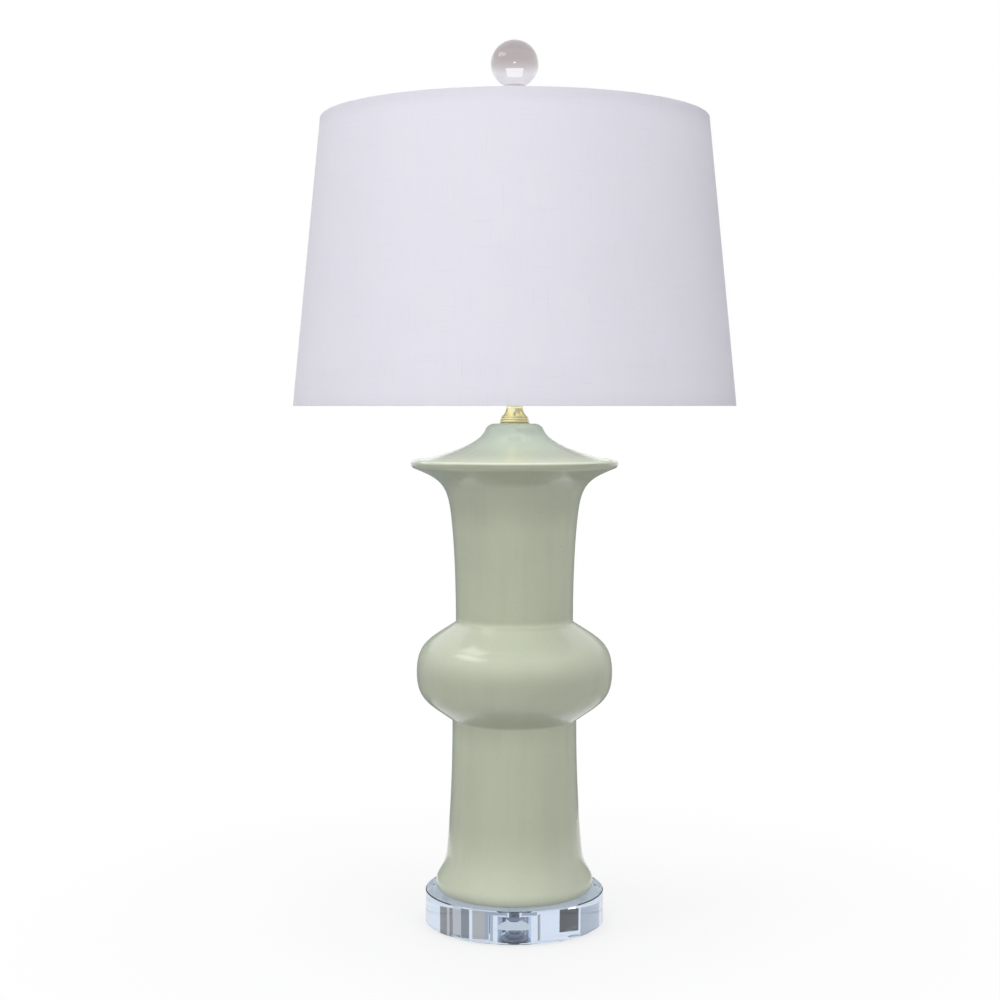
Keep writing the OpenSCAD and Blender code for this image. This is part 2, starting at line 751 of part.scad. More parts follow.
module bulb_base() {
    collar_h = bulb_collar_z - bulb_base_z;
    color("silver")
    translate([0, 0, bulb_base_z]) turned([
        [0, 0], [5, 0], [bulb_base_r - 1.5, 4], [bulb_base_r, 5.5], [bulb_base_r, collar_h - 2],
        [bulb_neck_r + 0.6, collar_h - 0.6], [bulb_neck_r + 0.6, collar_h], [0, collar_h]
    ]);
}

module bulb_contact() {
    color("silver")
    translate([0, 0, contact_z]) turned([[0, 0], [3, 0], [4, bulb_button_h], [0, bulb_button_h]]);
}

// Pear outline of the glass, drawn in by the thickness t
function pear(t) = joined([
    bend([bulb_neck_r - t, bulb_collar_z], [0, 16], [0, 24], bulb_at - [t, 0], 16),
    arc([0, bulb_at.y], bulb_r - t, 0, 90, 16)
]);

module bulb_glass() {
    inner = pear(bulb_t);
    color("white", 0.8)
    turned(concat(pear(0), [for (i = [len(inner) - 1:-1:0]) inner[i]]));
}

// A cone-shaped band of the shade between two depths inside its outline
module shade_band(outer, inner) {
    turned([
        [shade_bottom_r - outer, shade_z], [shade_top_r - outer, shade_top_z],
        [shade_top_r - inner, shade_top_z], [shade_bottom_r - inner, shade_z]
    ]);
}

module shade_linen() {
    color([0.92, 0.91, 0.94]) shade_band(0, linen_t);
}

module shade_liner() {
    color("white") shade_band(linen_t, linen_t + liner_t);
}

module frame_ring(z) {
    translate([0, 0, z]) rotate_extrude() translate([frame_r(z), 0]) circle(r = frame_wire_r);
}

module shade_top_ring() {
    color("gold") frame_ring(top_ring_z);
}

module shade_bottom_ring() {
    color("gold") frame_ring(bottom_ring_z);
}

// One arm to the back and the others spaced round; each dips from the top ring to the washer
module shade_spider() {
    arm_r = frame_wire_r;
    end_r = frame_r(top_ring_z) - frame_wire_r + 0.02;
    dip = top_ring_z - arm_z;
    arm_l = norm([end_r - arm_start_r, dip]);
    color("gold")
    for (i = [0:spider_arms - 1])
        rotate([0, 0, 90 + 360 / spider_arms * i]) translate([arm_start_r, 0, arm_z])
            rotate([0, 90 - atan2(dip, end_r - arm_start_r), 0]) cylinder(r = arm_r, h = arm_l);
}

module spider_washer() {
    color("gold")
    translate([0, 0, rest_z]) tube(spider_washer_r, bore_r, spider_washer_t);
}

// Turned stem: foot, waist, bead and the cup under the ball
module finial_stem() {
    cup_h = 7;
    bead_at = [5.2, stem_h * 0.5];
    seat_r = ball_r + seat_gap;
    seat_z = ball_z - washer_top_z;
    color("gold")
    translate([0, 0, washer_top_z]) difference() {
        turned(joined([
            [[0, 0], [7.5, 0], [7.5, 2]],
            bend([7.5, 2], [-0.4, 3], [0, 6], [4.9, stem_h * 0.5 - 3], 8),
            arc(bead_at, 2.2, -80, 80, 8),
            bend([4.6, stem_h * 0.5 + 3], [0, 3], [0.6, 2.4], [cup_r - 3.4, stem_h - cup_h], 6),
            bend([cup_r - 3.4, stem_h - cup_h], [2.6, 1], [0, 4], [cup_r, stem_h], 8),
            [[0, stem_h]]
        ]));
        translate([0, 0, -past]) cylinder(r = bore_r, h = stem_bore_h + past);
        translate([0, 0, seat_z]) sphere(r = seat_r);
    }
}

module finial_ball() {
    color("white", 0.5) translate([0, 0, ball_z]) sphere(r = ball_r);
}

foot_pads();
base_disc();
bottom_washer();
bottom_nut();
lamp_pipe();
centring_bush();
porcelain_body();
cord_outlet_bush();
cap_gasket();
check_ring();
brass_neck();
harp_saddle();
harp_loop();
harp_rest();
ferrule_left();
ferrule_right();
socket_cap();
socket_set_screw();
socket_shell();
socket_liner();
socket_interior();
screw_shell();
centre_contact();
terminal_screws();
switch_knob();
bulb_base();
bulb_contact();
bulb_glass();
shade_linen();
shade_liner();
shade_top_ring();
shade_bottom_ring();
shade_spider();
spider_washer();
finial_stem();
finial_ball();
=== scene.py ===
"""Porcelain table lamp: finishes, fine pieces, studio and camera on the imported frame."""

import functools
import math

import bmesh
import bpy
from bpy.props import FloatProperty, FloatVectorProperty, PointerProperty
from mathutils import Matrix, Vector


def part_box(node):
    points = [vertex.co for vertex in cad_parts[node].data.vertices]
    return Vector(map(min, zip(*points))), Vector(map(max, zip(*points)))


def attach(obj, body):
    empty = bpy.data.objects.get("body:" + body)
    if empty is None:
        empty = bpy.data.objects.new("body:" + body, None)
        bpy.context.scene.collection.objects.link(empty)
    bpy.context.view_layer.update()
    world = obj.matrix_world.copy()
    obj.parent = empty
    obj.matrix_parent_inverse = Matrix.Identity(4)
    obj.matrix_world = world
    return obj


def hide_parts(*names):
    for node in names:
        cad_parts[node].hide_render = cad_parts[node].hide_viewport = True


bl_info = {
    "name": "Porcelain Table Lamp",
    "version": (1, 0, 0),
    "blender": (4, 5, 0),
    "location": "View3D > Sidebar > Lamp",
    "description": "Finishes, fine pieces and a studio for a porcelain table lamp",
    "category": "Object",
}

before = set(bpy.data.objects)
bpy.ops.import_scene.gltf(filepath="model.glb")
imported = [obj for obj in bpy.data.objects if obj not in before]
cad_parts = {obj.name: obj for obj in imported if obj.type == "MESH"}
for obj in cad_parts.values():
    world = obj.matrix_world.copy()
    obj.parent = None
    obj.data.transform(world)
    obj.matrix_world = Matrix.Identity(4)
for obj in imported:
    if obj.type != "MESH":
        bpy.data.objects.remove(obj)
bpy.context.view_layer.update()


def screen(red, green, blue):
    """The linear colour of an 8-bit screen colour."""
    parts = (c / 255 for c in (red, green, blue))
    return (*(c / 12.92 if c <= 0.04045 else ((c + 0.055) / 1.055) ** 2.4 for c in parts), 1.0)


@functools.cache
def corners(node):
    """The lowest and highest corners of a node's box, in metres."""
    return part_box(node)


def low(node, axis=2):
    return corners(node)[0][axis]


def high(node, axis=2):
    return corners(node)[1][axis]


# Sizes and colours that a user may change


def length(name, text, default, most=1.0):
    return FloatProperty(
        name=name, description=text, default=default, min=0.0, max=most, unit="LENGTH", precision=5
    )


def share(name, text, default, most=1.0):
    return FloatProperty(name=name, description=text, default=default, min=0.0, max=most)


def angle(name, text, degrees):
    return FloatProperty(name=name, description=text, default=math.radians(degrees), subtype="ANGLE")


def colour(name, text, *rgb):
    return FloatVectorProperty(
        name=name, description=text, default=screen(*rgb), size=4, subtype="COLOR", min=0.0, max=1.0
    )


class LampGlaze(bpy.types.PropertyGroup):
    body: colour("Glaze", "Colour of the celadon glaze", 165, 170, 148)
    # This colour is also the painted shade under the brim and on the lower bulge
    pool: colour("Pooled glaze and painted shade", "Colour of thick glaze and of painted shade", 148, 154, 133)
    # This colour is painted light, on the upper bulge and the flare
    lip: colour("Painted top light", "Colour of the light painted on the upper bulge and the flare", 218, 225, 202)
    # This colour is painted light on the hat, paler than the glaze
    roof_light: colour("Painted roof light", "Colour of the light painted on the glaze of the hat", 205, 219, 205)
    biscuit: colour("Biscuit", "Colour of the unglazed foot ring", 214, 203, 184)
    gloss: share("Roughness", "Roughness of the glaze", 0.16)
    foot_rim: length("Bare rim", "Height of the unglazed rim of the foot", 0.0012)
    soft_edge: length("Softened edges", "Radius that the glaze rounds its edges and corners to", 0.0035)


class LampShade(bpy.types.PropertyGroup):
    linen: colour("Linen", "Colour of the linen", 241, 240, 247)
    slub: colour("Slubs", "Colour of the thicker threads", 222, 220, 224)
    liner: colour("Liner", "Colour of the stiff liner", 240, 239, 236)
    glow: share("Glow", "Share of the light that passes each face of the linen and its liner", 0.4)
    pitch: length("Thread pitch", "Distance between threads of the weave", 0.00055)
    hem: length("Hem", "Width of the hem that turns inside", 0.008)
    seam: length("Seam", "Width of the lap at the back", 0.012)


class LampMetal(bpy.types.PropertyGroup):
    brass: colour("Brass", "Colour of the lacquered brass", 253, 247, 204)
    nickel: colour("Nickel", "Colour of the nickel-plated pieces", 200, 198, 198)
    zinc: colour("Zinc", "Colour of the zinc-plated steel", 176, 178, 184)
    tin: colour("Tinned shell", "Colour of the screw shells", 204, 203, 200)
    turning: length("Turning pitch", "Distance between the fine lines of the lathe", 0.00022)


class LampClear(bpy.types.PropertyGroup):
    acrylic: colour("Acrylic", "Tint of the clear disc", 211, 224, 241)
    acrylic_ior: share("Acrylic index", "Index of refraction of the disc", 1.49, 2.0)
    crystal: colour("Crystal", "Tint of the ball", 246, 244, 248)
    crystal_ior: share("Crystal index", "Index of refraction of the ball", 1.52, 2.0)
    glass: colour("Bulb", "Colour of the frosted bulb", 236, 234, 228)


class LampSocket(bpy.types.PropertyGroup):
    phenolic: colour("Phenolic", "Colour of the moulded pieces", 44, 32, 27)
    paper: colour("Paper", "Colour of the paper liner", 176, 150, 112)
    rubber: colour("Rubber", "Colour of the bushes", 52, 50, 50)
    gasket: colour("Gasket", "Colour of the gasket under the check ring", 226, 231, 214)
    thread_pitch: length("Screw pitch", "Pitch of the bulb's screw", 0.003629)
    thread_depth: length("Screw depth", "Depth of the bulb's screw", 0.00085)


class LampStudio(bpy.types.PropertyGroup):
    distance: length("Distance", "Camera's distance from the lamp's axis", 1.62, 10.0)
    eye: length("Eye height", "Camera's height over the table", 0.4817, 10.0)
    lens: share("Lens", "Focal length in millimetres", 63.06, 300.0)
    pitch: angle("Pitch", "Downward tilt of the camera", 3.088)
    yaw: angle("Yaw", "Turn of the camera to the left", 0.474)
    ambient: share("Ambient", "Strength of the studio's even light", 0.4, 5.0)
    key: share("Key", "Power of the high light at the left, in watts", 6.0, 500.0)
    front: share("Front", "Power of the large light beside the camera, in watts", 13.0, 500.0)
    left: share("Left", "Power of the light at the left, in watts", 10.0, 500.0)
    right: share("Right", "Power of the light at the right, in watts", 13.0, 500.0)
    top: share("Top", "Power of the light over the lamp, in watts", 28.0, 500.0)
    back: share("Back", "Power of the light behind the lamp, in watts", 12.0, 500.0)


# Studio lamps: name of the power's setting, turn from the front and rise in degrees, distance,
# width and height, and whether gloss and clear bodies show the lamp itself
LAMPS = (
    ("key", -72, 44, 2.1, (1.3, 0.5), True),
    ("front", -14, 13, 2.3, (1.2, 1.2), False),
    ("left", -62, 14, 2.2, (0.9, 1.2), False),
    ("right", 40, 15, 2.2, (0.9, 1.2), False),
    ("top", 0, 88, 2.0, (1.4, 1.4), False),
    ("back", 180, 25, 2.2, (1.2, 1.2), False),
)
# Height that the lamps point at
AIM = 0.4

# Studio cards: name, first and last turn from the back in degrees, distance from the axis, bottom,
# top, tone, and whether clear bodies see it, or else gloss. A level card has two distances, of its
# inner and its outer edge. The last value, where there is one, is a change to a second tone: over
# heights for the clear bodies, and over turns from the back for gloss
CARDS = (
    ("card_bar_far", 34.0, 41.5, 1.2, 0.25, 0.5, (0.31, 0.29, 0.27), True),
    ("card_bar_thin", 29.2, 31.8, 1.2, 0.25, 0.5, (0.31, 0.29, 0.27), True),
    ("card_bar_near", 18.8, 23.4, 1.2, 0.25, 0.5, (0.29, 0.3, 0.31), True),
    ("card_taupe", 11.5, 17.2, 1.2, 0.25, 0.5, (0.57, 0.53, 0.47), True),
    ("card_grey", 23.4, 34.0, 1.21, 0.25, 0.5, (0.66, 0.61, 0.57), True),
    ("card_middle", -8.6, 11.5, 1.2, 0.25, 0.5, (0.44, 0.47, 0.53), True),
    ("card_square", -31.2, -18.8, 1.2, 0.25, 0.368, (0.125, 0.12, 0.11), True),
    ("card_left", -62.0, -33.0, 1.25, 0.25, 0.5, (0.55, 0.56, 0.58), True),
    (
        "card_ball_wall", -115.0, 115.0, 0.45, 0.58, 1.9, (0.5, 0.455, 0.44), True,
        (0.82, 1.05, 0.81, 0.79, 0.83),
    ),
    ("card_ball_floor", -95.0, 95.0, (0.012, 0.186), 0.7455, 0.7455, (0.46, 0.42, 0.41), True),
    ("card_ball_window", -15.0, 15.0, 0.44, 0.926, 1.074, (1.0, 1.0, 1.0), True),
    ("card_ball_spark", -2.0, 2.0, 0.44, 0.852, 0.868, (1.0, 1.0, 1.0), True),
    (
        "card_edge_left", -80.0, -5.0, 0.42, 0.0, 0.37, (0.3, 0.34, 0.33), False,
        (30.0, 75.0, 0.8, 0.82, 0.8),
    ),
    (
        "card_edge_right", 5.0, 80.0, 0.5, 0.0, 0.37, (0.3, 0.33, 0.28), False,
        (18.0, 70.0, 0.85, 0.87, 0.84),
    ),
    ("card_neck", 172.0, 285.0, 0.11, 0.488, 0.66, (1.0, 0.99, 0.95), False),
    ("card_sheen", -132.0, -86.0, (0.118, 0.185), 0.462, 0.462, (2.6, 2.6, 2.4), False),
)
# Largest turn of one flat face of a card, in degrees
CARD_STEP = 3
WHITE = (1.0, 1.0, 1.0, 1.0)

# Zones of the glaze: spans of height over the foot, in metres, that run from where a zone starts
# to where it is full. The flare, the upper bulge, the top of the brim and the hat take painted
# light; the lower bulge, the throat and the underside of the brim take painted shade
ZONES = {
    "flare": ((0.07, 0.01),),
    "lower bulge": ((0.158, 0.162), (0.222, 0.172)),
    "upper bulge": ((0.2, 0.25), (0.256, 0.246)),
    "throat": ((0.33, 0.365), (0.399, 0.391)),
    "under brim": ((0.3995, 0.3975),),
    "over brim": ((0.3975, 0.3995),),
    "hat": ((0.398, 0.412),),
}
# Height over the foot of the joint under the bulge, where glaze pools and painted shade darkens it
JOINT = 0.158
# Radii of the painted highlight over the brim and of the painted shade under its lip
OVER_BRIM, UNDER_LIP = (0.05, 0.088), (0.088, 0.094)

# Turns of the spider's three arms, in degrees
ARMS = (90, 210, 330)
# Points round a hem, half the width of its notches in degrees, and the point of the fold where
# they start
HEM_STEPS, HALF_NOTCH, NOTCH_START = 360, 1.1, 5
# Waves of a hem's tucked edge: depth in metres, number in a turn, and start in radians
HEM_WAVES = ((0.00008, 41, 0.0), (0.00006, 97, 1.0))
# Turns of the fold round a ring's wire, in degrees: first, end and step
WRAP = (78, 250, 19)
# Rows along a fillet of brazing, and points round each
FILLET_ROWS, FILLET_SIDES = 9, 20
# Pitch of 27 threads to the inch, as on the pipe and on the harp's stud
FINE_PITCH = 0.00094
# Points round each turn of the bulb's screw and its socket's
THREAD_SIDES = 72


# Shader maths


class Signal:
    """An output socket that Python's operators combine into Math nodes."""

    def __init__(self, finish, socket):
        self.finish = finish
        self.socket = socket

    def maths(self, operation, *values):
        return self.finish.node("ShaderNodeMath", {"operation": operation}, dict(enumerate(values)))

    def __add__(self, other):
        return self.maths("ADD", self, other)

    def __radd__(self, other):
        return self.maths("ADD", other, self)

    def __sub__(self, other):
        return self.maths("SUBTRACT", self, other)

    def __rsub__(self, other):
        return self.maths("SUBTRACT", other, self)

    def __mul__(self, other):
        return self.maths("MULTIPLY", self, other)

    def __rmul__(self, other):
        return self.maths("MULTIPLY", other, self)

    def __truediv__(self, other):
        return self.maths("DIVIDE", self, other)

    def __rtruediv__(self, other):
        return self.maths("DIVIDE", other, self)

    def sine(self):
        return self.maths("SINE", self)

    def root(self):
        return self.maths("SQRT", self)

    def cosine(self):
        return self.maths("COSINE", self)

    def size(self):
        return self.maths("ABSOLUTE", self)

    def fraction(self):
        return self.maths("FRACT", self)

    def larger(self, other):
        return self.maths("MAXIMUM", self, other)

    def smaller(self, other):
        return self.maths("MINIMUM", self, other)

    def fade(self, start, end):
        """0 at start and 1 at end, smooth between them."""
        return self.finish.node(
            "ShaderNodeMapRange",
            {"interpolation_type": "SMOOTHSTEP"},
            {"Value": self, "From Min": start, "From Max": end},
        )


class Finish:
    """A material, or a world, whose nodes are being written."""

    def __init__(self, name, kind="materials"):
        self.block = getattr(bpy.data, kind).new(name)
        self.block.use_nodes = True
        self.tree = self.block.node_tree
        self.tree.nodes.clear()

    def node(self, kind, settings=None, inputs=None, output=0):
        """Adds a node: first its settings, then the values or links of its sockets."""
        made = self.tree.nodes.new(kind)
        for key, value in (settings or {}).items():
            setattr(made, key, value)
        for key, value in (inputs or {}).items():
            if isinstance(value, Signal):
                self.tree.links.new(value.socket, made.inputs[key])
            else:
                made.inputs[key].default_value = value
        return Signal(self, made.outputs[output]) if made.outputs else None

    def place(self):
        """The point on the object, in metres."""
        return self.node("ShaderNodeTexCoord", output="Object")

    def split(self, vector):
        made = self.node("ShaderNodeSeparateXYZ", inputs={0: vector})
        return [Signal(self, s) for s in made.socket.node.outputs]

    def join(self, x, y, z):
        return self.node("ShaderNodeCombineXYZ", inputs={0: x, 1: y, 2: z})

    def noise(self, vector, scale, detail=2.0, roughness=0.5):
        return self.node(
            "ShaderNodeTexNoise",
            inputs={"Vector": vector, "Scale": scale, "Detail": detail, "Roughness": roughness},
        )

    def blend(self, amount, first, second):
        """A colour between two colours."""
        return self.node(
            "ShaderNodeMix", {"data_type": "RGBA"}, {0: amount, 6: first, 7: second}, output=2
        )

    def round_axis(self):
        """Radius, turn from the front in radians, and height on the lamp's axis."""
        x, y, z = self.split(self.place())
        return (x * x + y * y).root(), x.maths("ARCTAN2", x, 0 - y), z

    def bump(self, height, distance, strength=1.0, normal=None):
        inputs = {"Height": height, "Distance": distance, "Strength": strength}
        if normal is not None:
            inputs["Normal"] = normal
        return self.node("ShaderNodeBump", inputs=inputs)

    def seen(self):
        """1 where the camera, a gloss or a clear body looks, and 0 for light that spreads."""
        rays = self.node("ShaderNodeLightPath").socket.node.outputs
        camera, gloss, through = (
            Signal(self, rays[key]) for key in ("Is Camera Ray", "Is Glossy Ray", "Is Transmission Ray")
        )
        return camera.larger(gloss).larger(through)

    def done(self, glow=0.0, through=None, **inputs):
        """The main shader, with glow as the share of the light that passes it.

        The names of the other inputs are those of its sockets, with underscores for spaces.
        """
        sockets = {key.replace("_", " "): value for key, value in inputs.items()}
        shader = self.node("ShaderNodeBsdfPrincipled", inputs=sockets)
        if glow:
            passed = self.node("ShaderNodeBsdfTranslucent", inputs={"Color": through})
            shader = self.node("ShaderNodeMixShader", inputs={0: glow, 1: shader, 2: passed})
        self.node("ShaderNodeOutputMaterial", inputs={"Surface": shader})
        return self.block


def dress(material, *nodes):
    """Puts a finish on CAD nodes or on pieces."""
    for thing in nodes:
        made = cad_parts[thing] if isinstance(thing, str) else thing
        made.data.materials.clear()
        made.data.materials.append(material)


# Mesh helpers


def piece(name, points, faces, body, material, smooth=True):
    """A mesh piece that rides on a body."""
    mesh = bpy.data.meshes.new(name)
    mesh.from_pydata([tuple(p) for p in points], [], faces)
    mesh.update()
    made = bpy.data.objects.new(name, mesh)
    bpy.context.scene.collection.objects.link(made)
    fresh = bmesh.new()
    fresh.from_mesh(mesh)
    bmesh.ops.remove_doubles(fresh, verts=fresh.verts, dist=1e-7)
    bmesh.ops.recalc_face_normals(fresh, faces=fresh.faces)
    fresh.to_mesh(mesh)
    fresh.free()
    if smooth:
        mesh.shade_smooth()
    else:
        mesh.shade_flat()
    dress(material, made)
    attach(made, body)
    return made


def lattice(rows, width, closed=True, looped=False):
    """Faces between rows of points; closed joins a row's ends, and looped the last row to the first."""
    return [
        (i * width + k, i * width + (k + 1) % width, j * width + (k + 1) % width, j * width + k)
        for i, j in ((i, (i + 1) % rows) for i in range(rows if looped else rows - 1))
        for k in range(width if closed else width - 1)
    ]


def caps(count, width):
    """The faces that close the first and the last of all rows, with count points in all."""
    return [tuple(range(width)), tuple(range(count - width, count))]


def circles(outline):
    """Rows of points round the axis, one for each radius and height."""
    turns = [2 * math.pi * k / THREAD_SIDES for k in range(THREAD_SIDES)]
    return [(r * math.cos(t), r * math.sin(t), z) for r, z in outline for t in turns]


def thread(crest, bottom, top, pitch, depth):
    """Rows of points of a rolled round thread, from bottom to top, that runs out at both ends."""
    per_pitch, run_out = 14, 0.6
    steps = max(2, round((top - bottom) / pitch * per_pitch))
    points = []
    for i in range(steps + 1):
        z = bottom + (top - bottom) * i / steps
        ease = min(1.0, (z - bottom) / (run_out * pitch), (top - z) / (run_out * pitch))
        for k in range(THREAD_SIDES):
            turn = 2 * math.pi * k / THREAD_SIDES
            wave = 0.5 - 0.5 * math.cos(2 * math.pi * (z / pitch - k / THREAD_SIDES))
            r = crest - depth * wave * ease
            points.append((r * math.cos(turn), r * math.sin(turn), z))
    return points


# Finishes


def celadon(look):
    """Glaze that pools in the hollows, on a bare foot ring, with painted light and painted shade in its
    zones.
    """
    finish = Finish("celadon_glaze")
    radius, around, z = finish.round_axis()
    place = finish.place()
    foot = low("porcelain_body")
    cloud = finish.noise(place, 14.0, 3.0, 0.55)
    runs = finish.noise(finish.join(around * 1.6, 0.0, z * 3.0), 2.2, 2.0, 0.5)
    specks = finish.noise(place, 620.0, 1.0, 0.4)

    def zone(name):
        """1 inside a zone of the glaze and 0 outside it, with soft ends."""
        first, *rest = [z.fade(foot + start, foot + full) for start, full in ZONES[name]]
        return first * rest[0] if rest else first

    # The joint mask adds pooled glaze and painted shade, the lip mask painted shade under the brim's lip,
    # and the brim mask a painted highlight
    joint = (z - (foot + JOINT)).size().fade(0.022, 0.0)
    lip = radius.fade(*UNDER_LIP) * zone("under brim")
    brim = radius.fade(*OVER_BRIM) * zone("over brim")
    bare = z.fade(foot + look.foot_rim, foot + look.foot_rim * 0.6)
    # Real clouds and runs of thick glaze, with painted shade at the joint, in the throat, under the lip
    # and on the lower bulge
    depth = joint * 0.3 + zone("throat") * 0.85 + lip * 0.55 + zone("lower bulge") * 0.7
    depth = depth + cloud.fade(0.42, 0.66) * 0.15 + runs.fade(0.45, 0.62) * 0.12
    # Painted light on the upper bulge and the flare, which face up
    thin = (zone("upper bulge") * 0.8).larger(zone("flare") * 0.35)
    brim_highlight, iron_speck = screen(238, 246, 226), screen(118, 112, 92)
    tint = finish.blend(depth.smaller(1.0), tuple(look.body), tuple(look.pool))
    tint = finish.blend(thin, tint, tuple(look.lip))
    # Painted light on the hat
    tint = finish.blend(zone("hat") * 0.9, tint, tuple(look.roof_light))
    # Painted highlight over the brim
    tint = finish.blend(brim * 0.75, tint, brim_highlight)
    tint = finish.blend(specks.fade(0.735, 0.77) * 0.35, tint, iron_speck)
    tint = finish.blend(bare, tint, tuple(look.biscuit))
    peel = finish.noise(place, 150.0, 2.0, 0.5)
    wave = finish.noise(finish.join(around * 3.0, 0.0, z * 9.0), 3.0, 2.0, 0.5)
    grain = finish.noise(place, 2400.0, 2.0, 0.6)
    normal = finish.node("ShaderNodeBevel", {"samples": 8}, {"Radius": look.soft_edge})
    normal = finish.bump(wave, 0.0012, 0.35, normal)
    normal = finish.bump(peel, 0.00006, 0.5, normal)
    normal = finish.bump(grain * bare, 0.0002, 0.8, normal)
    return finish.done(
        Base_Color=tint,
        Roughness=(cloud * 0.06 + look.gloss - 0.03) * (1 - bare) + bare * 0.85,
        IOR=1.5,
        Coat_Weight=(1 - bare) * 0.35,
        Coat_Roughness=0.06,
        Normal=normal,
    )


def linen(look):
    """Plain weave that lies straight on the unrolled cone of the shade, with painted shade at the lower
    rim.
    """
    finish = Finish("shade_linen")
    radius, around, z = finish.round_axis()
    over_ring = 0.0014
    bottom, top = high("shade_linen", 0), high("shade_top_ring", 0) + over_ring
    half = math.atan((bottom - top) / (high("shade_linen") - low("shade_linen")))
    slant = radius / math.sin(half)
    turn = around * math.sin(half)
    across = slant * turn.sine()
    along = slant * turn.cosine()
    warp = (across * (math.pi / look.pitch)).sine()
    weft = (along * (math.pi / look.pitch)).sine()
    weave = warp * weft * 0.5 + 0.5
    ribs = warp.size() * weave + weft.size() * (1 - weave)
    thick_warp = finish.noise(finish.join(across * 900.0, along * 22.0, 0.0), 1.0, 2.0, 0.6)
    thick_weft = finish.noise(finish.join(across * 22.0, along * 900.0, 3.0), 1.0, 2.0, 0.6)
    slubs = thick_warp.fade(0.58, 0.74).larger(thick_weft.fade(0.58, 0.74))
    cloud = finish.noise(finish.place(), 9.0, 2.0, 0.5)
    # Painted shade that darkens the linen towards its lower rim
    rim, shade_start, shade_full = low("shade_linen"), 0.042, 0.024
    painted_shade = z.fade(rim + shade_start, rim + shade_full) * 0.28
    uneven = slubs * 0.4 + (1 - ribs) * 0.18 + cloud * 0.12 + painted_shade
    tint = finish.blend(uneven, tuple(look.linen), tuple(look.slub))
    normal = finish.bump(ribs * 0.7 + slubs * 0.6, 0.00012, 0.6)
    return finish.done(
        glow=look.glow,
        through=tuple(look.linen),
        Base_Color=tint,
        Roughness=0.86 + cloud * 0.08,
        Specular_IOR_Level=0.25,
        Sheen_Weight=0.12,
        Sheen_Roughness=0.5,
        Normal=normal,
    )


def styrene(look):
    """The stiff white sheet behind the linen, with the faint grain of its film."""
    finish = Finish("shade_liner")
    place = finish.place()
    cloud = finish.noise(place, 25.0, 3.0, 0.6)
    grain = finish.noise(place, 1300.0, 2.0, 0.5)
    tint = finish.blend(cloud.fade(0.35, 0.75) * 0.4, tuple(look.liner), screen(226, 224, 219))
    return finish.done(
        glow=look.glow,
        through=tuple(look.liner),
        Base_Color=tint,
        Roughness=0.5 + cloud * 0.12,
        Normal=finish.bump(grain, 0.00003, 0.5),
    )


def turned_metal(name, tint, worn, look, gloss, tarnish, bare=1.0):
    """Metal off the lathe: fine rings, soft clouds of tarnish and a few rubbed places."""
    finish = Finish(name)
    place = finish.place()
    radius, around, z = finish.round_axis()
    rings = ((z + radius * 0.6) * (2 * math.pi / look.turning)).sine()
    uneven = finish.noise(finish.join(z * 4000.0, radius * 4000.0, around * 0.6), 1.0, 2.0, 0.5)
    cloud = finish.noise(place, 85.0, 4.0, 0.6)
    rubs = finish.noise(place, 900.0, 3.0, 0.6)
    return finish.done(
        Base_Color=finish.blend(cloud.fade(0.42, 0.72) * tarnish, tint, worn),
        Metallic=bare,
        Roughness=gloss + cloud * 0.08 + rubs.fade(0.6, 0.8) * 0.1,
        Coat_Weight=0.25,
        Coat_Roughness=0.12,
        Normal=finish.bump(rings * 0.35 + uneven, 0.00002, 0.6),
    )


def threaded_metal(name, tint, worn, pitch, gloss):
    """Rolled thread on a rod along the lamp's axis."""
    finish = Finish(name)
    place = finish.place()
    _, around, z = finish.round_axis()
    turn = (z / pitch + around / (2 * math.pi)).fraction()
    groove = (turn - 0.5).size() * 2
    cloud = finish.noise(place, 120.0, 3.0, 0.6)
    # Painted shade in the grooves of the thread, with clouds of tarnish
    tint = finish.blend(groove.fade(0.35, 0.0) * 0.6 + cloud * 0.15, tint, worn)
    return finish.done(
        Base_Color=tint,
        Metallic=1.0,
        Roughness=gloss + cloud * 0.12,
        Normal=finish.bump(groove, 0.0004, 0.9),
    )


def drawn_wire(name, tint, worn, gloss):
    """Plated wire with the long faint scratches of its drawing."""
    finish = Finish(name)
    place = finish.place()
    cloud = finish.noise(place, 60.0, 3.0, 0.6)
    streaks = finish.noise(place, 700.0, 4.0, 0.7)
    pits = finish.noise(place, 2600.0, 1.0, 0.5)
    tint = finish.blend(cloud.fade(0.45, 0.75) * 0.35 + pits.fade(0.66, 0.8) * 0.3, tint, worn)
    return finish.done(
        Base_Color=tint,
        Metallic=1.0,
        Roughness=gloss + streaks * 0.14,
        Normal=finish.bump(streaks * 0.6 + pits * 0.4, 0.00003, 0.6),
    )


def clear(name, tint, ior, gloss, ripples=0.5):
    """Clear cast body; the handling marks are faint changes of gloss and of the face."""
    finish = Finish(name)
    place = finish.place()
    smears = finish.noise(place, 34.0, 3.0, 0.65)
    ripple = finish.noise(place, 18.0, 1.0, 0.4)
    return finish.done(
        Base_Color=tint,
        Roughness=smears.fade(0.5, 0.8) * gloss,
        IOR=ior,
        Transmission_Weight=1.0,
        Normal=finish.bump(ripple, 0.00025, ripples),
    )


